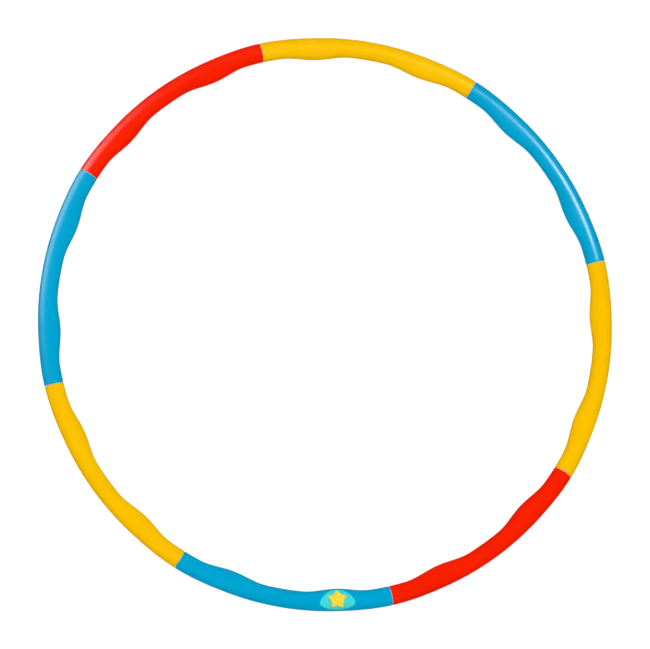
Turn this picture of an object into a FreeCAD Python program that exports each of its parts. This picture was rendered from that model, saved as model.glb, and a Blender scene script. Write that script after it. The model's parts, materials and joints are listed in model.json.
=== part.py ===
import FreeCAD, Part
import math
import os

# A snap-together exercise hoop: eight curved, hollow tube sections butted end to end. Each section
# carries a connector in one end, whose spigot goes into the next section's socket and is held there by
# a sprung button. The hoop lies flat. +Z is the ring's axis, and the origin is at the ring's centre,
# level with the hoop's lowest point. Lengths are in millimetres and angles in degrees.

# Ring
section_count = 8
outer_edge_radius = 360.0
first_junction_angle = 13.2
section_angle = 360.0 / section_count

# Tube section: round, a little fatter and set a little further out towards its ends
middle_tube_radius = 11.55
end_tube_radius = 12.0
end_rise = 1.2
end_swell_angle = 11.25
wall = 1.8

# Two massage bumps on each section, which stand inward only
bump_height = 4.9
bump_half_angle = 7.5
bump_angles = (section_angle * 0.25, section_angle * 0.75)
station_angle = bump_half_angle / 4

# Connector: its collar shows as a thin ring between two sections
collar_radius = 11.3
collar_thickness = 0.8
section_gap = 0.1
seat_radius = 9.0
seat_depth = 26.0
seat_interference = 0.05
fixed_length = 24.0
spigot_radius = 9.0
spigot_length = 28.0
spigot_lead_in = 1.2
spigot_tip_radius = 8.4
socket_radius = 9.1
socket_depth = 30.0
socket_lead_in = 0.8
hollow_overlap = 1.0
connector_bore_radius = 7.2

# Snap clip: one strip folded into a U, with a round button on one leg
button_position = 13.0
button_radius = 3.5
button_dome_radius = 6.0
button_recess = 0.4
connector_hole_radius = 3.6
socket_hole_radius = 3.75
socket_hole_chamfer = 0.5
strip_width = 6.6
strip_thickness = 0.8
strip_half_height = 6.2
strip_tip_position = 18.0
strip_bend_position = -12.0

# Label: a thin oval skin over the top of one bump, fuller towards the ring's centre. Its long axis lies
# outside the tube's centre line by label_offset.
label_section = 6
label_bump = 1
label_length = 44.4
label_inward_reach = 16.6
label_outward_reach = 8.2
label_offset = 2.0
label_thickness = 0.15
label_loft_half_angle = 5.625

axis_height = end_tube_radius
junction_radius = outer_edge_radius + end_rise - end_tube_radius
up = FreeCAD.Vector(0, 0, 1)
ring_centre = FreeCAD.Vector(0, 0, 0)


def raised_cosine(distance, half_width):
    """1 at no distance, falling smoothly to 0 at the half width and beyond."""
    share = min(abs(distance) / half_width, 1.0)
    return 0.5 * (1.0 + math.cos(math.pi * share))


def end_share(angle):
    """1 at either end of a section, falling to 0 where its plain middle begins."""
    return raised_cosine(min(angle, section_angle - angle), end_swell_angle)


def tube_radius(angle):
    """Half the tube's height at an angle along its section."""
    return middle_tube_radius + (end_tube_radius - middle_tube_radius) * end_share(angle)


def tube_centre_radius(angle):
    """Distance of the tube's centre from the ring's axis."""
    return outer_edge_radius + end_rise * end_share(angle) - tube_radius(angle)


def bump_rise(angle):
    """How far the tube's inner side stands inward of a round section."""
    return bump_height * sum(raised_cosine(angle - centre, bump_half_angle) for centre in bump_angles)


def half_outline(angle, skin_offset, side):
    """One half of the tube's outline: a half circle outside (side 1), a half ellipse inside (side -1)."""
    radius = tube_radius(angle) + skin_offset
    reach = radius + (bump_rise(angle) if side < 0 else 0.0)
    half_circle = Part.Arc(
        FreeCAD.Vector(0, 0, radius * side),
        FreeCAD.Vector(radius * side, 0, 0),
        FreeCAD.Vector(0, 0, -radius * side),
    ).toShape()
    stretch = FreeCAD.Matrix()
    stretch.scale(reach / radius, 1.0, 1.0)
    half = half_circle.transformGeometry(stretch)
    half.translate(FreeCAD.Vector(tube_centre_radius(angle), 0, axis_height))
    return half.rotate(ring_centre, up, angle)


def tube_loft(start_angle, end_angle, skin_offset):
    """The solid inside the tube's outline, moved out by the skin offset, between two of its angles."""
    steps = round((end_angle - start_angle) / station_angle)
    outlines = []
    for step in range(steps + 1):
        angle = start_angle + (end_angle - start_angle) * step / steps
        outlines.append(Part.Wire([half_outline(angle, skin_offset, side) for side in (1, -1)]))
    return Part.makeLoft(outlines, True, False)


def arc_angle(distance):
    """The ring's angle at a distance along the tangent from a junction."""
    return math.degrees(math.atan(distance / junction_radius))


def along_tangent(shape, junction_angle):
    """Moves a shape drawn about the X axis to a junction, with X running along the ring's tangent there."""
    placed = shape.copy()
    placed.rotate(ring_centre, up, 90.0)
    placed.translate(FreeCAD.Vector(junction_radius, 0, axis_height))
    placed.rotate(ring_centre, up, junction_angle)
    return placed


def rod(radius, start, end):
    """A cylinder about the X axis."""
    return Part.makeCylinder(radius, end - start, FreeCAD.Vector(start, 0, 0), FreeCAD.Vector(1, 0, 0))


def cone(start_radius, end_radius, start, end):
    """A cone about the X axis."""
    base = FreeCAD.Vector(start, 0, 0)
    return Part.makeCone(start_radius, end_radius, end - start, base, FreeCAD.Vector(1, 0, 0))


def button_rod(radius, top, bottom):
    """A vertical cylinder at the button's place, between two heights below the connector's axis."""
    base = FreeCAD.Vector(button_position, 0, -bottom)
    return Part.makeCylinder(radius, bottom - top, base, up)


def tube_section():
    """A section that starts at angle 0: socket at its start, connector seat at its end, hollow between."""
    half_collar = collar_thickness / 2.0
    hollow_start = arc_angle(socket_depth - hollow_overlap)
    hollow_end = section_angle - arc_angle(seat_depth - hollow_overlap)

    section = tube_loft(0.0, section_angle, 0.0)
    section = section.cut(tube_loft(hollow_start, hollow_end, -wall))

    face_start = half_collar + section_gap
    start_slab = rod(2 * end_tube_radius, -face_start, face_start)
    end_slab = rod(2 * end_tube_radius, -half_collar, half_collar)
    socket = rod(socket_radius, 0.0, socket_depth)
    lead_in = cone(socket_radius + socket_lead_in, socket_radius, face_start, face_start + socket_lead_in)
    seat = rod(seat_radius, -seat_depth, 0.0)
    hole = button_rod(socket_hole_radius, 0.0, 2 * end_tube_radius)
    hole_rim = Part.makeCone(
        socket_hole_radius + socket_hole_chamfer + button_recess,
        socket_hole_radius,
        socket_hole_chamfer + button_recess,
        FreeCAD.Vector(button_position, 0, -end_tube_radius),
        up,
    )
    for tool in (start_slab, socket, lead_in, hole, hole_rim):
        section = section.cut(along_tangent(tool, 0.0))
    for tool in (end_slab, seat):
        section = section.cut(along_tangent(tool, section_angle))
    return section


def connector():
    """A connector about the X axis, with its fixed half towards -X and its spigot towards +X."""
    half_collar = collar_thickness / 2.0
    plug = rod(seat_radius + seat_interference, -fixed_length, 0.0)
    plug = plug.fuse(rod(collar_radius, -half_collar, half_collar))
    plug = plug.fuse(rod(spigot_radius, 0.0, spigot_length - spigot_lead_in))
    plug = plug.fuse(cone(spigot_radius, spigot_tip_radius, spigot_length - spigot_lead_in, spigot_length))
    plug = plug.cut(rod(connector_bore_radius, -fixed_length, spigot_length))
    plug = plug.cut(button_rod(connector_hole_radius, 0.0, 2 * spigot_radius))
    return plug.removeSplitter()


def snap_clip():
    """The U-shaped strip and its button, about the connector's X axis, with the button towards -Z."""
    outer_height = strip_half_height
    inner_height = strip_half_height - strip_thickness
    centre = FreeCAD.Vector(strip_bend_position, 0, 0)

    def bend(radius):
        top = centre + FreeCAD.Vector(0, 0, radius)
        back = centre + FreeCAD.Vector(-radius, 0, 0)
        bottom = centre + FreeCAD.Vector(0, 0, -radius)
        return Part.Arc(top, back, bottom).toShape()

    def leg(start_height, end_height, start, end):
        return Part.makeLine(FreeCAD.Vector(start, 0, start_height), FreeCAD.Vector(end, 0, end_height))

    outline = Part.Wire(
        [
            leg(outer_height, outer_height, strip_tip_position, strip_bend_position),
            bend(outer_height),
            leg(-outer_height, -outer_height, strip_bend_position, strip_tip_position),
            leg(-outer_height, -inner_height, strip_tip_position, strip_tip_position),
            leg(-inner_height, -inner_height, strip_tip_position, strip_bend_position),
            bend(inner_height),
            leg(inner_height, inner_height, strip_bend_position, strip_tip_position),
            leg(inner_height, outer_height, strip_tip_position, strip_tip_position),
        ]
    )
    strip = Part.Face(outline).extrude(FreeCAD.Vector(0, strip_width, 0))
    strip.translate(FreeCAD.Vector(0, -strip_width / 2.0, 0))

    button_tip = end_tube_radius - button_recess
    shank = button_rod(button_radius, strip_half_height - strip_thickness / 2.0, button_tip)
    dome_centre = FreeCAD.Vector(button_position, 0, -(button_tip - button_dome_radius))
    button = shank.common(Part.makeSphere(button_dome_radius, dome_centre))
    return strip.fuse(button).removeSplitter()


def half_oval(reach):
    """Half of the label's outline, which reaches from its long axis along Y by a signed distance."""
    half_circle = Part.Arc(
        FreeCAD.Vector(-1, 0, 0),
        FreeCAD.Vector(0, math.copysign(1, reach), 0),
        FreeCAD.Vector(1, 0, 0),
    ).toShape()
    stretch = FreeCAD.Matrix()
    stretch.scale(label_length / 2.0, abs(reach), 1.0)
    return half_circle.transformGeometry(stretch)


def label():
    """A thin skin on the tube's top, cut to an oval about one bump's middle."""
    centre_angle = bump_angles[label_bump]
    start_angle = centre_angle - label_loft_half_angle
    end_angle = centre_angle + label_loft_half_angle
    skin = tube_loft(start_angle, end_angle, label_thickness)
    skin = skin.cut(tube_loft(start_angle, end_angle, 0.0))
    oval = Part.Wire([half_oval(label_inward_reach), half_oval(-label_outward_reach)])
    prism = Part.Face(oval).extrude(FreeCAD.Vector(0, 0, 2 * end_tube_radius))
    prism.rotate(ring_centre, up, 90.0)
    prism.translate(FreeCAD.Vector(tube_centre_radius(centre_angle) + label_offset, 0, axis_height))
    prism.rotate(ring_centre, up, centre_angle)
    return skin.common(prism)


def save(shape, name):
    """Checks that a piece is whole solids and writes it to its own file."""
    assert shape.isValid(), name + " is not a valid shape"
    print(name, "solids", len(shape.Solids), "volume cm3", round(shape.Volume / 1000.0, 2))
    shape.exportStep("parts/" + name + ".step")


def turned(shape, angle):
    """A copy of a shape turned about the ring's axis."""
    copy = shape.copy()
    copy.rotate(ring_centre, up, angle)
    return copy


os.makedirs("parts", exist_ok=True)
first_section = tube_section()
first_connector = along_tangent(connector(), section_angle)
first_clip = along_tangent(snap_clip(), section_angle)
for index in range(section_count):
    number = str(index + 1)
    start = first_junction_angle + section_angle * index
    save(turned(first_section, start), "tube_section_" + number)
    save(turned(first_connector, start), "connector_" + number)
    save(turned(first_clip, start), "snap_clip_" + number)
save(turned(label(), first_junction_angle + section_angle * (label_section - 1)), "label")
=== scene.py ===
import json
import math

import bmesh
import bpy
from mathutils import Matrix, Vector

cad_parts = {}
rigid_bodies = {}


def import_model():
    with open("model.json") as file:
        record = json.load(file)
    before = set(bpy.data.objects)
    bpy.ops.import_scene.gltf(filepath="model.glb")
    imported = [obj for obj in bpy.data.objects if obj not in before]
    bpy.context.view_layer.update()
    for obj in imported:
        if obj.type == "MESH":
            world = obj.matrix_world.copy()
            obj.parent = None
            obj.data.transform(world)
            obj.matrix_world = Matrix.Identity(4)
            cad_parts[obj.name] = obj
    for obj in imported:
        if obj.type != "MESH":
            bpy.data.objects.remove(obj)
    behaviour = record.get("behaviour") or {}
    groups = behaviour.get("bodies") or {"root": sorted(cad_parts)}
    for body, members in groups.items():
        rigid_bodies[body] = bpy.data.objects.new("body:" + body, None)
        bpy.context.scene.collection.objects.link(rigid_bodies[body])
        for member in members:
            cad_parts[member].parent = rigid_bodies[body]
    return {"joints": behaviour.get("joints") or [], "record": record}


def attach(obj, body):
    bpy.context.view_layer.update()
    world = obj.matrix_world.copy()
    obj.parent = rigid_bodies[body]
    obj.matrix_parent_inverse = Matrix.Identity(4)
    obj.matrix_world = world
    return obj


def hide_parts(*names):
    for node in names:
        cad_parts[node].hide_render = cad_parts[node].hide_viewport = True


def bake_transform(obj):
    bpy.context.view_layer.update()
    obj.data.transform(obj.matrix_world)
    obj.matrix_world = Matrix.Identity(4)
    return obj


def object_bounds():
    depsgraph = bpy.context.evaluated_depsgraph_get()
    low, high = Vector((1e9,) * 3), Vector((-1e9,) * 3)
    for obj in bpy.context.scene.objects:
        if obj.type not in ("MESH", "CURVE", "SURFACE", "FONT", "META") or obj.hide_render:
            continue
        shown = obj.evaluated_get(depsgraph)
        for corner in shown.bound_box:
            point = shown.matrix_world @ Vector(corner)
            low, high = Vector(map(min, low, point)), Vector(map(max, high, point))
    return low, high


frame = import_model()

# A snap-together exercise hoop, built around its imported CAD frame. Shapes are drawn in millimetres and
# degrees, in the row frame, and new_object() turns millimetres into metres.

MM = 0.001
cad_low, cad_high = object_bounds()

# ---------------------------------------------------------------- places, from the frame
outer_edge = (cad_high.x - cad_low.x) / 2 / MM
axis_height = (cad_low.z + cad_high.z) / 2 / MM
pulls = [joint for joint in frame["joints"] if joint["name"].startswith("pull_apart")]
section_count = len(pulls) + 1
section_angle = 360.0 / section_count
pull_axis = pulls[0]["axis"]
first_angle = math.degrees(math.atan2(-pull_axis[0], pull_axis[1])) - section_angle
node_slot = {part["node"]: part["material_slot"] for part in frame["record"]["subparts"]}

# ---------------------------------------------------------------- shape of the tube
END_RADIUS = axis_height
MIDDLE_THINNING = 0.45
MIDDLE_RADIUS = END_RADIUS - MIDDLE_THINNING
END_RISE = 1.2
END_SWELL_ANGLE = 11.25
BUMP_HEIGHT = 4.9
BUMP_HALF_ANGLE = 7.5
BUMP_ANGLES = (section_angle * 0.25, section_angle * 0.75)
WALL = 1.8
JUNCTION_RADIUS = outer_edge + END_RISE - END_RADIUS

# Ends of a section
COLLAR_HALF = 0.4
START_FACE = 0.5
LIP = 0.45
SOCKET_RADIUS = 9.1
SOCKET_DEPTH = 30.0
SOCKET_LEAD_IN = 0.8
SEAT_RADIUS = 9.08
SEAT_DEPTH = 26.0

# Connector
COLLAR_RADIUS = 11.3
SPIGOT_RADIUS = 9.0
CONNECTOR_BORE = 7.2
CONNECTOR_HOLE = 3.6
BUTTON_POSITION = 13.0
BUTTON_RADIUS = 3.5
BUTTON_TIP = 11.6
DOME_RADIUS = 6.0
DOME_HALF_ANGLE = 32.0
SOCKET_HOLE = 3.75

# Clip
STRIP_WIDTH = 6.6
STRIP_THICKNESS = 0.8
STRIP_HEIGHT = 6.2
STRIP_TIP = 18.0
STRIP_BEND = -12.0
STRIP_CORNER = 0.25
TIP_ROUNDING = 2.2
LEG_GAP = 0.02

# Label
LABEL_SECTION = 6
LABEL_BUMP = 1
LABEL_LENGTH = 44.4
LABEL_INWARD_REACH = 16.6
LABEL_OUTWARD_REACH = 8.2
LABEL_OFFSET = 2.0
LABEL_THICKNESS = 0.15
LABEL_LIFT = 0.01
LABEL_POINT = 1.35
INK_THICKNESS = 0.05
STAR_TIP_RADIUS = 12.2
STAR_NOTCH_RADIUS = 7.4
STAR_INWARD_SHIFT = 4.4


def raised_cosine(distance, half_width):
    share = min(abs(distance) / half_width, 1.0)
    return 0.5 * (1.0 + math.cos(math.pi * share))


def smooth(low, high, value):
    share = min(max((value - low) / (high - low), 0.0), 1.0)
    return share * share * (3.0 - 2.0 * share)


def end_share(angle):
    return raised_cosine(min(angle, section_angle - angle), END_SWELL_ANGLE)


def tube_radius(angle):
    return MIDDLE_RADIUS + (END_RADIUS - MIDDLE_RADIUS) * end_share(angle)


def tube_centre(angle):
    return outer_edge + END_RISE * end_share(angle) - tube_radius(angle)


def bump_rise(angle):
    return BUMP_HEIGHT * sum(raised_cosine(angle - centre, BUMP_HALF_ANGLE) for centre in BUMP_ANGLES)


def skin_height(x, y, side, grow=0.0):
    """Height of a section's outer skin over a point of its plan, for a section that starts at angle 0."""
    angle = math.degrees(math.atan2(y, x))
    radius = tube_radius(angle) + grow
    out = math.hypot(x, y) - tube_centre(angle)
    reach = radius if out > 0 else radius + bump_rise(angle)
    return axis_height + side * radius * math.sqrt(max(0.0, 1.0 - (out / reach) ** 2))


# ---------------------------------------------------------------- mesh helpers
SHARP_ANGLE = 35.0


def turn(angle):
    return Matrix.Rotation(math.radians(angle), 4, "Z")


def at_junction(angle):
    """Local X along the ring's tangent, local Y towards the ring's centre, origin on the tube's axis."""
    return turn(angle) @ Matrix.Translation((JUNCTION_RADIUS, 0, axis_height)) @ turn(90)


def new_object(name, points, faces, place, material, body, replaces=()):
    """A smooth-shaded mesh object that rides on a body and stands for the CAD nodes it replaces."""
    mesh = bpy.data.meshes.new(name)
    mesh.from_pydata([(place @ Vector(point)) * MM for point in points], [], faces)
    shell = bmesh.new()
    shell.from_mesh(mesh)
    bmesh.ops.recalc_face_normals(shell, faces=shell.faces)
    shell.to_mesh(mesh)
    shell.free()
    mesh.materials.append(material)
    mesh.polygons.foreach_set("use_smooth", [True] * len(mesh.polygons))
    mesh.set_sharp_from_angle(angle=math.radians(SHARP_ANGLE))
    piece = bpy.data.objects.new(name, mesh)
    bpy.context.scene.collection.objects.link(piece)
    if body:
        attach(piece, body)
    for node in replaces:
        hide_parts(node)
    return piece


class Skin:
    """Collects points and faces of one mesh."""

    def __init__(self):
        self.points = []
        self.faces = []

    def add(self, points):
        first = len(self.points)
        self.points.extend(points)
        return list(range(first, len(self.points)))

    def grid(self, rings, skip=None):
        """Bridges each ring to the next, and leaves out the faces that skip holds, as (ring, step) pairs."""
        for number in range(len(rings) - 1):
            one, other = rings[number], rings[number + 1]
            for step in range(len(one)):
                if skip and (number, step) in skip:
                    continue
                after = (step + 1) % len(one)
                self.faces.append((one[step], one[after], other[after], other[step]))

    def bridge(self, one, other):
        self.grid([one, other])

    def cap(self, ring, centre):
        middle = self.add([centre])[0]
        for index in range(len(ring)):
            self.faces.append((ring[index], ring[(index + 1) % len(ring)], middle))


# Places along the quarter turn that rounds a hole's rim
RIM_SHARES = (0.3, 0.6, 0.85, 1.0)


def hole_edge(rings, ring_low, ring_high, step_low, step_high):
    """The points round a rectangle of a grid, in order, and the faces inside it."""
    loop = [rings[ring_low][step] for step in range(step_low, step_high)]
    loop += [rings[ring][step_high] for ring in range(ring_low, ring_high)]
    loop += [rings[ring_high][step] for step in range(step_high, step_low, -1)]
    loop += [rings[ring][step_low] for ring in range(ring_high, ring_low, -1)]
    inside = {(ring, step) for ring in range(ring_low, ring_high) for step in range(step_low, step_high)}
    return loop, inside


def ways_out(skin, loop, centre):
    """The directions, in plan, from a centre to the points of a loop."""
    ways = []
    for index in loop:
        x, y = skin.points[index][:2]
        ways.append(tuple(Vector((x - centre[0], y - centre[1])).normalized()))
    return ways


def circle_patch(skin, loop, centre, directions, radius, height, rows):
    """Rows of points from a grid's rectangular gap in to a circle, at the heights that height() gives."""
    previous = loop
    starts = [skin.points[index] for index in loop]
    for row in range(1, rows + 1):
        share = row / rows
        ring = []
        for start, direction in zip(starts, directions):
            x = start[0] + (centre[0] + radius * direction[0] - start[0]) * share
            y = start[1] + (centre[1] + radius * direction[1] - start[1]) * share
            ring.append((x, y, height(x, y)))
        ring = skin.add(ring)
        skin.bridge(previous, ring)
        previous = ring
    return previous


def round_hole_wall(skin, outer_ring, inner_ring, centre, directions, radius, rim, height):
    """Rounds the rim of a hole up from its outer skin and joins it to the ring of its inner skin."""
    previous = outer_ring
    for share in RIM_SHARES:
        out = rim * (1.0 - math.sin(share * math.pi / 2))
        drop = rim * (1.0 - math.cos(share * math.pi / 2))
        ring = []
        for direction in directions:
            x = centre[0] + (radius + out) * direction[0]
            y = centre[1] + (radius + out) * direction[1]
            ring.append((x, y, height(x, y) + drop))
        ring = skin.add(ring)
        skin.bridge(previous, ring)
        previous = ring
    skin.bridge(previous, inner_ring)


# ---------------------------------------------------------------- tube sections
PARTING_LINES = (0.0, 180.0)
PARTING_RISE = 0.10
PARTING_HALF_WIDTH = 2.2
GIRTH_STEP = 5.0
# Each end's rounded lip: (share of its length, share of its depth, share of the parting line's rise)
LIP_PROFILE = ((0.0, 1.0, 0.0), (0.08, 0.62, 0.0), (0.3, 0.3, 0.0), (0.62, 0.08, 0.3), (1.0, 0.0, 0.6))
LIP_END = 2.2
STATION_STEP = 0.625
HOLE_STATIONS = (-7.5, -5.0, -2.5, 0.0, 2.5, 5.0, 7.5)
HOLE_HALF_ANGLE = 40.0
HOLE_RIM = 0.7
SECTION_HOLE_ROWS = (4, 3)


def turn_between(one, other):
    """The smaller angle between two directions."""
    return abs((one - other + 180.0) % 360.0 - 180.0)


def girth_angles():
    """Angles round the tube: even steps, and close ones along the two parting lines."""
    even = [step * GIRTH_STEP for step in range(round(360.0 / GIRTH_STEP))]
    offsets = (-PARTING_HALF_WIDTH, -PARTING_HALF_WIDTH / 2, PARTING_HALF_WIDTH / 2, PARTING_HALF_WIDTH)
    close = [line + offset for line in PARTING_LINES for offset in offsets]
    return sorted({angle % 360.0 for angle in even + close})


GIRTH = girth_angles()


def parting_rise(around):
    off = min(turn_between(around, line) for line in PARTING_LINES)
    return PARTING_RISE * raised_cosine(off, PARTING_HALF_WIDTH)


def outline(angle, centre, out_reach, in_reach, half_height, parting=0.0):
    """One ring of points round the tube, in the radial plane at an angle along the section."""
    ring = []
    for around in GIRTH:
        c, s = math.cos(math.radians(around)), math.sin(math.radians(around))
        extra = parting * parting_rise(around)
        reach = (out_reach if c > 0 else in_reach) + extra
        across = centre + reach * c
        turned = math.radians(angle)
        ring.append((across * math.cos(turned), across * math.sin(turned), axis_height + half_height * s))
    return ring


def outer_outline(angle, shrink=0.0, parting=1.0):
    radius = tube_radius(angle) - shrink
    return outline(angle, tube_centre(angle), radius, radius + bump_rise(angle), radius, parting)


def bore_outline(angle, radius, end_angle):
    """A ring of a straight bore along the tangent at end_angle."""
    lean = math.radians(angle - end_angle)
    return outline(angle, JUNCTION_RADIUS / math.cos(lean), radius, radius, radius)


def inner_outline(angle):
    """A ring of the section's inside: socket bore, hollow, or connector seat."""
    if angle < arc_angle(SOCKET_DEPTH):
        return bore_outline(angle, SOCKET_RADIUS, 0.0)
    if angle > section_angle - arc_angle(SEAT_DEPTH):
        return bore_outline(angle, SEAT_RADIUS, section_angle)
    radius = tube_radius(angle) - WALL
    return outline(angle, tube_centre(angle), radius, radius + bump_rise(angle), radius)


def arc_angle(length):
    return math.degrees(length / JUNCTION_RADIUS)


def girth_step(around):
    return min(range(len(GIRTH)), key=lambda step: abs(GIRTH[step] - around))


def section_mesh():
    """A section that starts at angle 0, as one closed skin."""
    skin = Skin()
    start, end = arc_angle(START_FACE), section_angle - arc_angle(COLLAR_HALF)
    last_plain = section_angle - arc_angle(LIP_END)
    spread = [arc_angle(LIP_END)] + [arc_angle(BUTTON_POSITION + offset) for offset in HOLE_STATIONS]
    while spread[-1] + STATION_STEP * 1.5 < last_plain:
        spread.append(spread[-1] + STATION_STEP)
    spread.append(last_plain)

    lip = arc_angle(LIP)
    outside = [outer_outline(start + lip * along, LIP * depth, rise) for along, depth, rise in LIP_PROFILE]
    first_plain = len(outside)
    outside += [outer_outline(angle) for angle in spread]
    for along, depth, rise in reversed(LIP_PROFILE):
        outside.append(outer_outline(end - lip * along, LIP * depth, rise))
    outside = [skin.add(ring) for ring in outside]

    lead = arc_angle(SOCKET_LEAD_IN)
    inside = [bore_outline(start, SOCKET_RADIUS + SOCKET_LEAD_IN, 0.0)]
    inside.append(bore_outline(start + lead, SOCKET_RADIUS, 0.0))
    first_inner = len(inside)
    inside += [inner_outline(angle) for angle in spread]
    inside.append(bore_outline(end - lead * 0.5, SEAT_RADIUS, section_angle))
    inside.append(bore_outline(end, SEAT_RADIUS + SOCKET_LEAD_IN * 0.5, section_angle))
    inside = [skin.add(ring) for ring in inside]

    underside = 270.0
    low, high = girth_step(underside - HOLE_HALF_ANGLE), girth_step(underside + HOLE_HALF_ANGLE)
    ring_low, ring_high = 1, len(HOLE_STATIONS)
    centre = (JUNCTION_RADIUS, BUTTON_POSITION)
    outer_loop, outer_gap = hole_edge(outside, first_plain + ring_low, first_plain + ring_high, low, high)
    inner_loop, inner_gap = hole_edge(inside, first_inner + ring_low, first_inner + ring_high, low, high)
    directions = ways_out(skin, outer_loop, centre)

    def outer_height(x, y):
        return skin_height(x, y, -1)

    def inner_height(x, y):
        return axis_height - math.sqrt(SOCKET_RADIUS**2 - (x - JUNCTION_RADIUS) ** 2)

    hole, rim = SOCKET_HOLE, HOLE_RIM
    outer_rows, inner_rows = SECTION_HOLE_ROWS
    outer_ring = circle_patch(skin, outer_loop, centre, directions, hole + rim, outer_height, outer_rows)
    inner_ring = circle_patch(skin, inner_loop, centre, directions, hole, inner_height, inner_rows)
    round_hole_wall(skin, outer_ring, inner_ring, centre, directions, hole, rim, outer_height)

    skin.grid(outside, outer_gap)
    skin.grid(inside, inner_gap)
    skin.bridge(outside[0], inside[0])
    skin.bridge(outside[-1], inside[-1])
    return skin


# ---------------------------------------------------------------- connectors
ROUND_STEPS = 96
FLUTE_ANGLES = (0.0, 45.0, 90.0, 135.0, 180.0)
FLUTE_DEPTH = 0.3
FLUTE_HALF_ANGLE = 8.0
FLUTE_START = (3.5, 5.0)
FLUTE_END = (24.0, 25.5)
CONNECTOR_RIM = 0.35
CONNECTOR_HOLE_STEPS = 13
CONNECTOR_HOLE_ROWS = 3


def flute(along, around):
    """How deep the spigot's grooves are at a place."""
    fade = smooth(*FLUTE_START, along) * (1.0 - smooth(*FLUTE_END, along))
    off = min(turn_between(around, centre) for centre in FLUTE_ANGLES)
    return FLUTE_DEPTH * fade * raised_cosine(off, FLUTE_HALF_ANGLE)


def round_ring(along, radius, fluted=False):
    """A ring about the local X axis, with step 0 at the top."""
    ring = []
    for step in range(ROUND_STEPS):
        around = 360.0 * step / ROUND_STEPS
        here = radius - (flute(along, around - 90.0) if fluted else 0.0)
        turned = math.radians(around)
        ring.append((along, here * math.sin(turned), here * math.cos(turned)))
    return ring


def connector_mesh():
    """Fixed half towards local -X, collar at 0, spigot towards +X, with the button's hole underneath."""
    skin = Skin()
    # Lathe profile, as (place along the axis, radius): the outside from the fixed end, then the bore back
    hole_rows = [BUTTON_POSITION + offset for offset in HOLE_STATIONS]
    fixed = [(-24.0, 8.4), (-23.8, 8.75)] + [(along, SPIGOT_RADIUS) for along in (-23.2, -12.0, -0.4)]
    collar = [(-0.4, 10.9), (-0.37, 11.1), (-0.28, 11.24), (-0.15, COLLAR_RADIUS)]
    collar += [(-along, radius) for along, radius in reversed(collar)]
    collar += [(0.4, 9.5), (0.5, 9.2), (0.8, SPIGOT_RADIUS)]
    root = [(along, SPIGOT_RADIUS) for along in (2.0, 3.5)]
    spigot = [(along, SPIGOT_RADIUS) for along in (4.2, *hole_rows, 23.0, 24.0, 24.8, 25.6, 26.6)]
    tip = [(27.2, 8.9), (27.7, 8.65), (27.95, 8.3), (28.0, 7.9), (27.9, 7.55), (27.6, 7.3)]
    tip.append((27.0, CONNECTOR_BORE))
    bore = [(along, CONNECTOR_BORE) for along in (*reversed(hole_rows), -12.0, -23.6)]
    back = [(-24.0, 7.6)]
    plain = fixed + collar + root
    rings = [skin.add(round_ring(along, radius)) for along, radius in plain]
    rings += [skin.add(round_ring(along, radius, True)) for along, radius in spigot]
    rings += [skin.add(round_ring(along, radius)) for along, radius in tip + bore + back]
    rings.append(rings[0])

    # The grid's gap runs from the second of the hole's stations to the last but one
    first_outer = len(plain) + 2
    first_inner = len(plain + spigot + tip) + 1
    gap_length = len(HOLE_STATIONS) - 3
    low, high = ROUND_STEPS // 2 - CONNECTOR_HOLE_STEPS, ROUND_STEPS // 2 + CONNECTOR_HOLE_STEPS
    outer_loop, outer_gap = hole_edge(rings, first_outer, first_outer + gap_length, low, high)
    inner_loop, inner_gap = hole_edge(rings, first_inner, first_inner + gap_length, low, high)
    centre = (BUTTON_POSITION, 0.0)

    def outer_height(x, y):
        return -math.sqrt(SPIGOT_RADIUS**2 - y * y)

    def inner_height(x, y):
        return -math.sqrt(CONNECTOR_BORE**2 - y * y)

    # The bore's rings run the other way, so its loop is matched to the outer one in reverse
    count = len(outer_loop)
    reverse = [(low - high - index) % count for index in range(count)]
    outer_ways = ways_out(skin, outer_loop, centre)
    inner_ways = [outer_ways[index] for index in reverse]
    hole, rim, rows = CONNECTOR_HOLE, CONNECTOR_RIM, CONNECTOR_HOLE_ROWS
    outer_ring = circle_patch(skin, outer_loop, centre, outer_ways, hole + rim, outer_height, rows)
    inner_ring = circle_patch(skin, inner_loop, centre, inner_ways, hole, inner_height, rows)
    matched = [inner_ring[index] for index in reverse]
    round_hole_wall(skin, outer_ring, matched, centre, outer_ways, hole, rim, outer_height)
    skin.grid(rings, outer_gap | inner_gap)
    return skin


# ---------------------------------------------------------------- snap clips
CORNER_STEPS = 4
TIP_STEPS = 6
ANCHOR_LEG_STEPS = 14
BUTTON_LEG_STEPS = 28
BEND_STEPS = 24
BUTTON_STEPS = 48
DOME_STEPS = 9


def strip_outline(half_width, half_thickness):
    """The strip's rounded section, as (across, off) pairs."""
    corner = STRIP_CORNER
    outline_points = []
    for sign_across, sign_off, from_angle in ((1, 1, 0.0), (-1, 1, 90.0), (-1, -1, 180.0), (1, -1, 270.0)):
        for step in range(CORNER_STEPS + 1):
            turned = math.radians(from_angle + 90.0 * step / CORNER_STEPS)
            across = sign_across * (half_width - corner) + corner * math.cos(turned)
            off = sign_off * (half_thickness - corner) + corner * math.sin(turned)
            outline_points.append((across, off))
    return outline_points


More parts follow.
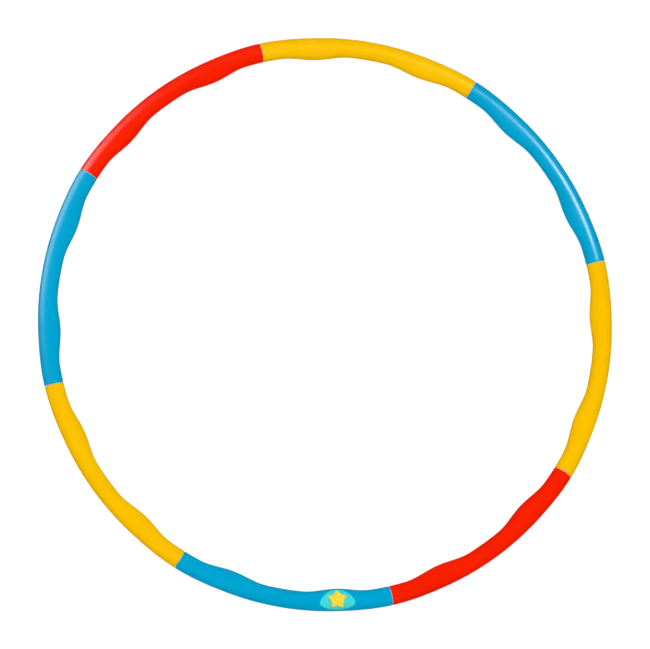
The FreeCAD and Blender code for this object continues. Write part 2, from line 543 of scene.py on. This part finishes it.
def sweep_strip(skin, path):
    """Sweeps the strip along (along, height, lean, half width) stations. Lean is the path's heading."""
    rings = []
    for along, height, lean, half_width in path:
        normal = (-math.sin(math.radians(lean)), math.cos(math.radians(lean)))
        ring = []
        for across, off in strip_outline(half_width, STRIP_THICKNESS / 2):
            ring.append((along + off * normal[0], across, height + off * normal[1]))
        rings.append(skin.add(ring))
    skin.grid(rings)
    for ring, station in ((rings[0], path[0]), (rings[-1], path[-1])):
        skin.cap(ring, (station[0], 0.0, station[1]))


def leg_stations(steps):
    """(place along, half width) from a leg's round-cornered tip back to the bend."""
    stations = []
    for step in range(TIP_STEPS + 1):
        turned = math.radians(90.0 * step / TIP_STEPS)
        back = TIP_ROUNDING * (1.0 - math.cos(turned))
        stations.append((STRIP_TIP - back, STRIP_WIDTH / 2 - TIP_ROUNDING * (1.0 - math.sin(turned))))
    straight = STRIP_TIP - TIP_ROUNDING - STRIP_BEND
    for step in range(1, steps + 1):
        stations.append((STRIP_BEND + straight * (1.0 - step / steps), STRIP_WIDTH / 2))
    return stations


def anchor_leg_mesh():
    """The fixed leg along the connector's top, and the bend down to the button's leg."""
    skin = Skin()
    height = STRIP_HEIGHT - STRIP_THICKNESS / 2
    path = [(along, height, 180.0, half_width) for along, half_width in leg_stations(ANCHOR_LEG_STEPS)]
    for step in range(1, BEND_STEPS + 1):
        lean = 180.0 * step / BEND_STEPS
        turned = math.radians(lean)
        along = STRIP_BEND - height * math.sin(turned)
        path.append((along, height * math.cos(turned), 180.0 + lean, STRIP_WIDTH / 2))
    sweep_strip(skin, path)
    return skin


def button_leg_mesh():
    """The springy leg along the connector's bottom, with the button formed on it."""
    skin = Skin()
    height = -(STRIP_HEIGHT - STRIP_THICKNESS / 2)
    stations = leg_stations(BUTTON_LEG_STEPS)
    stations[-1] = (STRIP_BEND + LEG_GAP, STRIP_WIDTH / 2)
    sweep_strip(skin, [(along, height, 0.0, half_width) for along, half_width in reversed(stations)])

    # Lathe profile of the button, as (radius, height): a root fillet, the shank, its rounded edge, the dome
    profile = [(3.95, -6.15), (3.7, -6.25), (3.55, -6.5), (BUTTON_RADIUS, -6.9), (BUTTON_RADIUS, -8.6)]
    profile += [(BUTTON_RADIUS, -10.1), (3.47, -10.3), (3.37, -10.5)]
    for step in range(DOME_STEPS):
        lean = math.radians(DOME_HALF_ANGLE * (1.0 - step / DOME_STEPS))
        drop = BUTTON_TIP - DOME_RADIUS + DOME_RADIUS * math.cos(lean)
        profile.append((DOME_RADIUS * math.sin(lean), -drop))
    rings = []
    for radius, z in profile:
        ring = []
        for step in range(BUTTON_STEPS):
            turned = 2 * math.pi * step / BUTTON_STEPS
            ring.append((BUTTON_POSITION + radius * math.cos(turned), radius * math.sin(turned), z))
        rings.append(skin.add(ring))
    skin.grid(rings)
    skin.cap(rings[0], (BUTTON_POSITION, 0.0, height))
    skin.cap(rings[-1], (BUTTON_POSITION, 0.0, -BUTTON_TIP))
    return skin


# ---------------------------------------------------------------- label
LABEL_STEPS = 112
LABEL_ROWS = 18
STAR_TIPS = 5
STAR_SIDE_STEPS = 8
STAR_SOFTENING = 3
STAR_ROWS = 12


def on_label(x_along, y_out, grow):
    """A point of the section's top skin, from a place measured along and out from the label's long axis."""
    angle = BUMP_ANGLES[LABEL_BUMP]
    centre = tube_centre(angle) + LABEL_OFFSET
    turned = math.radians(angle)
    x = (centre + y_out) * math.cos(turned) - x_along * math.sin(turned)
    y = (centre + y_out) * math.sin(turned) + x_along * math.cos(turned)
    return (x, y, skin_height(x, y, 1, grow))


def fan_skin(edge, centre, rows, top, bottom):
    """A thin closed skin inside an edge, in rows of points that shrink towards a centre."""
    skin = Skin()
    levels = []
    for grow in (top, bottom):
        level = []
        for row in range(1, rows + 1):
            share = row / rows
            shrunk = [Vector(centre).lerp(Vector(point), share) for point in edge]
            level.append(skin.add([on_label(point.x, point.y, grow) for point in shrunk]))
        skin.cap(level[0], on_label(centre[0], centre[1], grow))
        skin.grid(level)
        levels.append(level)
    skin.bridge(levels[0][-1], levels[1][-1])
    return skin


def label_mesh():
    """An oval that is fuller towards the ring's centre, with a blunt point there."""
    edge = []
    for step in range(LABEL_STEPS):
        turned = 2 * math.pi * step / LABEL_STEPS
        across = LABEL_OUTWARD_REACH * math.sin(turned)
        if across < 0:
            across = -LABEL_INWARD_REACH * abs(math.sin(turned)) ** LABEL_POINT
        edge.append((LABEL_LENGTH / 2 * math.cos(turned), across))
    return fan_skin(edge, (0.0, 0.0), LABEL_ROWS, LABEL_THICKNESS, LABEL_LIFT)


def star_mesh():
    """A plain five-pointed star with softened corners, printed over the label."""
    corners = []
    for corner in range(2 * STAR_TIPS):
        turned = math.radians(180.0 / STAR_TIPS * corner - 90.0)
        reach = STAR_TIP_RADIUS if corner % 2 == 0 else STAR_NOTCH_RADIUS
        corners.append(Vector((reach * math.cos(turned), reach * math.sin(turned) - STAR_INWARD_SHIFT)))
    edge = []
    for index, corner in enumerate(corners):
        after = corners[(index + 1) % len(corners)]
        edge += [corner.lerp(after, step / STAR_SIDE_STEPS) for step in range(STAR_SIDE_STEPS)]
    for _ in range(STAR_SOFTENING):
        count = len(edge)
        edge = [(edge[i - 1] + edge[i] * 2 + edge[(i + 1) % count]) / 4 for i in range(count)]
    top, bottom = LABEL_THICKNESS + INK_THICKNESS, LABEL_THICKNESS - INK_THICKNESS
    return fan_skin(edge, (0.0, -STAR_INWARD_SHIFT), STAR_ROWS, top, bottom)


# ---------------------------------------------------------------- materials
class Nodes:
    """Short names for building one material's node tree."""

    def __init__(self, name):
        self.material = bpy.data.materials.new(name)
        self.material.use_nodes = True
        self.tree = self.material.node_tree
        self.shader = self.tree.nodes["Principled BSDF"]

    def link(self, source, target):
        self.tree.links.new(source, target)

    def math(self, operation, *inputs):
        node = self.tree.nodes.new("ShaderNodeMath")
        node.operation = operation
        for number, value in enumerate(inputs):
            if isinstance(value, (int, float)):
                node.inputs[number].default_value = value
            else:
                self.link(value, node.inputs[number])
        return node.outputs[0]

    def vector(self, x, y, z=0.0):
        node = self.tree.nodes.new("ShaderNodeCombineXYZ")
        for number, value in enumerate((x, y, z)):
            if isinstance(value, (int, float)):
                node.inputs[number].default_value = value
            else:
                self.link(value, node.inputs[number])
        return node.outputs[0]

    def noise(self, vector, scale, detail=2.0, roughness=0.5):
        node = self.tree.nodes.new("ShaderNodeTexNoise")
        node.inputs["Scale"].default_value = scale
        node.inputs["Detail"].default_value = detail
        node.inputs["Roughness"].default_value = roughness
        self.link(vector, node.inputs["Vector"])
        return node.outputs["Fac"]

    def streaks(self, along, around, cells_along, cells_around, detail, layer=0.0):
        """Noise stretched along or round the tube, with its cells counted per metre each way."""
        stretched = (self.math("MULTIPLY", along, cells_along), self.math("MULTIPLY", around, cells_around))
        return self.noise(self.vector(*stretched, layer), 1.0, detail)

    def place(self):
        """The shading point in the row frame, in metres."""
        return self.tree.nodes.new("ShaderNodeTexCoord").outputs["Object"]

    def set(self, name, value):
        """Sets one of the shader's own sockets, or feeds it from a node's output."""
        if isinstance(value, bpy.types.NodeSocket):
            self.link(value, self.shader.inputs[name])
        else:
            self.shader.inputs[name].default_value = value

    def spread(self, value, low, high, to_low, to_high):
        node = self.tree.nodes.new("ShaderNodeMapRange")
        node.interpolation_type = "SMOOTHSTEP"
        self.link(value, node.inputs["Value"])
        for name, number in zip(("From Min", "From Max", "To Min", "To Max"), (low, high, to_low, to_high)):
            node.inputs[name].default_value = number
        return node.outputs["Result"]

    def mix(self, factor, one, other):
        node = self.tree.nodes.new("ShaderNodeMix")
        node.data_type = "RGBA"
        self.link(factor, node.inputs["Factor"])
        for socket, value in ((node.inputs[6], one), (node.inputs[7], other)):
            if isinstance(value, tuple):
                socket.default_value = (*value, 1.0)
            else:
                self.link(value, socket)
        return node.outputs[2]

    def bump(self, height, distance, strength=1.0, before=None):
        node = self.tree.nodes.new("ShaderNodeBump")
        node.inputs["Distance"].default_value = distance
        node.inputs["Strength"].default_value = strength
        self.link(height, node.inputs["Height"])
        if before is not None:
            self.link(before, node.inputs["Normal"])
        return node.outputs["Normal"]


def tube_coordinates(nodes):
    """A shading point's place in the row frame, its metres along the ring and its metres round the tube."""
    place = nodes.place()
    parts = nodes.tree.nodes.new("ShaderNodeSeparateXYZ")
    nodes.link(place, parts.inputs[0])
    x, y, z = parts.outputs
    ring_angle = nodes.math("ARCTAN2", y, x)
    across = nodes.math("SQRT", nodes.math("ADD", nodes.math("MULTIPLY", x, x), nodes.math("MULTIPLY", y, y)))
    out = nodes.math("SUBTRACT", across, JUNCTION_RADIUS * MM)
    up = nodes.math("SUBTRACT", z, axis_height * MM)
    along = nodes.math("MULTIPLY", ring_angle, JUNCTION_RADIUS * MM)
    around = nodes.math("MULTIPLY", nodes.math("ARCTAN2", up, out), END_RADIUS * MM)
    return place, along, around


def darker(colour, share):
    return tuple(value * share for value in colour)


def nearness_to_junction(nodes, along):
    """Distance to the nearest junction, as a share of a section's length."""
    section_length = math.radians(section_angle) * JUNCTION_RADIUS * MM
    sections = nodes.math("DIVIDE", along, section_length)
    sections = nodes.math("ADD", sections, section_count + 0.5 - first_angle / section_angle)
    return nodes.math("ABSOLUTE", nodes.math("SUBTRACT", nodes.math("FRACT", sections), 0.5))


def moulded_plastic(name, colour, roughness, tint, gloss=(1.0, 1.0, 1.0)):
    """Coloured polythene: faint flow streaks along the tube, mottling, fine scratches and scuffed ends."""
    nodes = Nodes(name)
    place, along, around = tube_coordinates(nodes)
    mottle = nodes.spread(nodes.noise(place, 22.0, 3.0), 0.3, 0.7, 0.0, 1.0)
    streak = nodes.spread(nodes.streaks(along, around, 9.0, 260.0, 3.0), 0.42, 0.72, 0.0, 0.16)
    worn = nodes.spread(nearness_to_junction(nodes, along), 0.0, 0.02, 1.0, 0.0)
    scuff = nodes.spread(nodes.streaks(along, around, 900.0, 300.0, 4.0), 0.5, 0.66, 0.0, 0.35)
    scuff = nodes.math("MULTIPLY", worn, scuff)
    shade = nodes.mix(mottle, darker(colour, 0.955), colour)
    shade = nodes.mix(streak, shade, tint)
    nodes.set("Base Color", nodes.mix(scuff, shade, tint))

    hair = nodes.spread(nodes.streaks(along, around, 55.0, 2600.0, 2.0), 0.63, 0.72, 0.0, 1.0)
    cross = nodes.spread(nodes.streaks(along, around, 1700.0, 60.0, 2.0, 3.0), 0.68, 0.76, 0.0, 1.0)
    scratches = nodes.math("MAXIMUM", hair, cross)
    satin = nodes.spread(nodes.noise(place, 60.0, 4.0), 0.3, 0.7, roughness - 0.03, roughness + 0.04)
    satin = nodes.math("ADD", satin, nodes.math("MULTIPLY", scratches, 0.10))
    nodes.set("Roughness", nodes.math("ADD", satin, nodes.math("MULTIPLY", scuff, 0.35)))

    # Depths in metres of the moulding's swell, its orange peel and its scratches
    normal = nodes.bump(nodes.noise(place, 140.0, 2.0), 0.00006, 0.6)
    normal = nodes.bump(nodes.noise(place, 900.0, 2.0), 0.00001, 0.7, normal)
    nodes.set("Normal", nodes.bump(scratches, -0.000012, 0.6, normal))
    nodes.set("IOR", 1.5)
    nodes.set("Specular Tint", (*gloss, 1.0))
    return nodes.material


def smooth_finish(nodes, roughness, grain):
    """A slightly uneven sheen and a fine grain."""
    place = nodes.place()
    sheen = nodes.noise(place, 500.0, 3.0)
    nodes.set("Roughness", nodes.spread(sheen, 0.3, 0.7, roughness - 0.06, roughness + 0.08))
    nodes.set("Normal", nodes.bump(nodes.noise(place, grain, 3.0), 0.00002, 0.6))


def plain_plastic(name, colour, roughness, grain, subsurface=0.0):
    """Natural moulded plastic with a fine grain and faint clouding."""
    nodes = Nodes(name)
    cloud = nodes.spread(nodes.noise(nodes.place(), 160.0, 3.0), 0.3, 0.7, 0.0, 1.0)
    nodes.set("Base Color", nodes.mix(cloud, darker(colour, 0.9), colour))
    nodes.set("Subsurface Weight", subsurface)
    nodes.set("Subsurface Radius", (0.002, 0.002, 0.0018))
    smooth_finish(nodes, roughness, grain)
    return nodes.material


def printed_vinyl(name, middle, rim, centre):
    """The label's smooth vinyl, printed bluer away from its centre."""
    nodes = Nodes(name)
    place = nodes.place()
    reach = nodes.tree.nodes.new("ShaderNodeVectorMath")
    reach.operation = "DISTANCE"
    nodes.link(place, reach.inputs[0])
    reach.inputs[1].default_value = centre
    towards_rim = nodes.spread(reach.outputs["Value"], 0.010, 0.019, 0.0, 1.0)
    cloud = nodes.spread(nodes.noise(place, 300.0, 3.0), 0.3, 0.7, 0.0, 0.35)
    nodes.set("Base Color", nodes.mix(cloud, nodes.mix(towards_rim, middle, rim), darker(middle, 0.9)))
    smooth_finish(nodes, 0.30, 2600.0)
    return nodes.material


def floor_material():
    """A pale floor that glows almost white and takes only a faint shade."""
    nodes = Nodes("studio_floor")
    tone = nodes.spread(nodes.noise(nodes.place(), 3.0, 4.0), 0.3, 0.7, 0.0, 1.0)
    nodes.set("Base Color", nodes.mix(tone, (0.56, 0.56, 0.56), (0.58, 0.58, 0.58)))
    nodes.set("Roughness", 0.9)
    nodes.set("Specular IOR Level", 0.0)
    nodes.set("Emission Color", (1.0, 1.0, 1.0, 1.0))
    nodes.set("Emission Strength", 0.68)
    return nodes.material


def linear(red, green, blue):
    """Linear light for a colour given as 0 to 255 screen values."""
    light = []
    for value in (red, green, blue):
        share = value / 255.0
        light.append(share / 12.92 if share <= 0.04045 else ((share + 0.055) / 1.055) ** 2.4)
    return tuple(light)


label_place = turn(first_angle + section_angle * (LABEL_SECTION - 1))
label_centre = label_place @ Vector(on_label(0, 0, 0)) * MM
plastics = {
    "blue_plastic": moulded_plastic("blue_polythene", linear(0, 161, 206), 0.30, linear(20, 172, 214)),
    "yellow_plastic": moulded_plastic(
        "yellow_polythene", linear(247, 189, 0), 0.34, linear(250, 200, 20), (1.0, 0.9, 0.3)
    ),
    "red_plastic": moulded_plastic("red_polythene", linear(245, 31, 0), 0.33, linear(250, 50, 12)),
    "connector_plastic": plain_plastic("natural_nylon", linear(232, 232, 216), 0.42, 1400.0, 0.2),
    "clip_plastic": plain_plastic("clip_acetal", linear(214, 216, 214), 0.36, 1800.0, 0.1),
    "label_vinyl": printed_vinyl("label_vinyl", linear(78, 208, 192), linear(56, 216, 226), label_centre),
    "star_ink": plain_plastic("star_ink", linear(255, 215, 55), 0.34, 2600.0),
}

# ---------------------------------------------------------------- assembly
section_skin = section_mesh()
connector_skin = connector_mesh()
anchor_skin = anchor_leg_mesh()
button_skin = button_leg_mesh()


def place_piece(skin, name, place, slot, body, replaces=(), material=None):
    piece = new_object(name, skin.points, skin.faces, place, plastics[material or slot], body, replaces)
    return piece


for index in range(section_count):
    number = str(index + 1)
    start = first_angle + section_angle * index
    body, button_body = "section_" + number, "button_" + number
    tube, plug, clip = "tube_section_" + number, "connector_" + number, "snap_clip_" + number
    place_piece(section_skin, "tube_shell_" + number, turn(start), node_slot[tube], body, [tube])
    joint = at_junction(start + section_angle)
    place_piece(connector_skin, "connector_plug_" + number, joint, node_slot[plug], body, [plug])
    place_piece(anchor_skin, "clip_anchor_leg_" + number, joint, node_slot[clip], body)
    leg = place_piece(button_skin, "clip_button_leg_" + number, joint, node_slot[clip], None, [clip])
    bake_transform(leg)

label_body = "section_" + str(LABEL_SECTION)
place_piece(label_mesh(), "oval_label", label_place, "label_vinyl", label_body, ["label"])
place_piece(star_mesh(), "label_star", label_place, "label_vinyl", label_body, material="star_ink")

# ---------------------------------------------------------------- studio
FLOOR_HALF = 20000.0
floor_points = [(x * FLOOR_HALF, y * FLOOR_HALF, 0) for x, y in ((-1, -1), (1, -1), (1, 1), (-1, 1))]
floor = new_object("floor", floor_points, [(0, 1, 2, 3)], Matrix.Identity(4), floor_material(), None)
floor.visible_diffuse = False
floor.visible_glossy = False
floor.visible_shadow = False


# Lights are placed in degrees and metres.
def studio_light(name, ring_angle, azimuth, elevation, distance, length, height, radiance):
    """A flat light, its length level, that faces a place on the ring from a direction and a distance."""
    data = bpy.data.lights.new(name, "AREA")
    data.shape = "RECTANGLE"
    data.size = length
    data.size_y = height
    data.energy = radiance * math.pi * length * height
    light = bpy.data.objects.new(name, data)
    bpy.context.scene.collection.objects.link(light)
    place, a, e = math.radians(ring_angle), math.radians(azimuth), math.radians(elevation)
    away = Vector((math.cos(a) * math.cos(e), math.sin(a) * math.cos(e), math.sin(e)))
    target = Vector((JUNCTION_RADIUS * math.cos(place), JUNCTION_RADIUS * math.sin(place), axis_height)) * MM
    light.location = target + away * distance
    light.rotation_euler = away.to_track_quat("Z", "Y").to_euler()
    light.visible_camera = False
    return light


def highlight_card(numbers, name, **place):
    """A card that shows only as the highlight on the sections with these numbers."""
    light = studio_light(name, **place)
    light.visible_diffuse = False
    light.data.cycles.max_bounces = 0
    lit = bpy.data.collections.new(light.name + "_sections")
    for number in numbers:
        lit.objects.link(bpy.data.objects["tube_shell_" + str(number)])
    light.light_linking.receiver_collection = lit


def dome_light(name, tilt, radiance):
    """Even light from half of the room, turned away from overhead by a tilt, with no reflection."""
    data = bpy.data.lights.new(name, "SUN")
    data.angle = math.pi
    data.energy = radiance * math.pi
    data.cycles.use_multiple_importance_sampling = False
    dome = bpy.data.objects.new(name, data)
    bpy.context.scene.collection.objects.link(dome)
    dome.rotation_euler = (math.radians(tilt), 0.0, 0.0)
    dome.visible_glossy = False


highlight_card(
    (1, 2),
    "key_card",
    ring_angle=28,
    azimuth=35.6,
    elevation=64,
    distance=0.8,
    length=0.10,
    height=0.36,
    radiance=42.0,
)
highlight_card(
    (1, 2),
    "key_tail_card",
    ring_angle=52,
    azimuth=55,
    elevation=64,
    distance=0.8,
    length=0.30,
    height=0.29,
    radiance=3.1,
)
highlight_card(
    (3,),
    "upper_left_card",
    ring_angle=144,
    azimuth=147,
    elevation=20,
    distance=1.0,
    length=0.6,
    height=1.25,
    radiance=6.2,
)
highlight_card(
    (4,),
    "left_card",
    ring_angle=157,
    azimuth=150,
    elevation=9,
    distance=1.0,
    length=1.0,
    height=1.25,
    radiance=3.4,
)
soft_light = studio_light(
    "soft_light",
    ring_angle=135,
    azimuth=135,
    elevation=60,
    distance=2.6,
    length=1.8,
    height=1.8,
    radiance=0.4,
)
soft_light.visible_glossy = False

# A white room, with less light from below than from above: the camera sees the world, and the domes light it
dome_light("sky_dome", tilt=0.0, radiance=1.09)
dome_light("ground_dome", tilt=180.0, radiance=0.42)
world = bpy.data.worlds.new("studio")
bpy.context.scene.world = world
world.use_nodes = True
world.node_tree.nodes["Background"].inputs["Color"].default_value = (1.0, 1.0, 1.0, 1.0)
world.cycles_visibility.diffuse = False
world.cycles_visibility.glossy = False

# The camera looks down along the ring's axis, leaning a little towards the ring's lower left.
CAMERA_LEAN = 9.73
CAMERA_AZIMUTH = 227.44
CAMERA_ROLL = 0.59
CAMERA_DISTANCE = 12.0
FRAME_WIDTH = 0.810
AIM_OFFSET = 0.00116
camera_data = bpy.data.cameras.new("camera")
camera = bpy.data.objects.new("camera", camera_data)
bpy.context.scene.collection.objects.link(camera)
bpy.context.scene.camera = camera
camera_data.lens = camera_data.sensor_width * CAMERA_DISTANCE / FRAME_WIDTH
camera_data.clip_end = 100.0
lean = Matrix.Rotation(math.radians(CAMERA_LEAN), 3, "Y")
azimuth = Matrix.Rotation(math.radians(CAMERA_AZIMUTH), 3, "Z")
back = azimuth @ lean @ Vector((0, 0, 1))
roll = math.radians(CAMERA_ROLL)
across = Vector((math.cos(roll), math.sin(roll), 0.0))
across = (across - across.dot(back) * back).normalized()
upward = back.cross(across)
aim = Vector((0, 0, axis_height * MM)) - AIM_OFFSET * (across + upward)
frame_axes = Matrix((across, upward, back)).transposed()
camera.matrix_world = Matrix.Translation(aim + back * CAMERA_DISTANCE) @ frame_axes.to_4x4()
bpy.context.scene.view_settings.view_transform = "Standard"
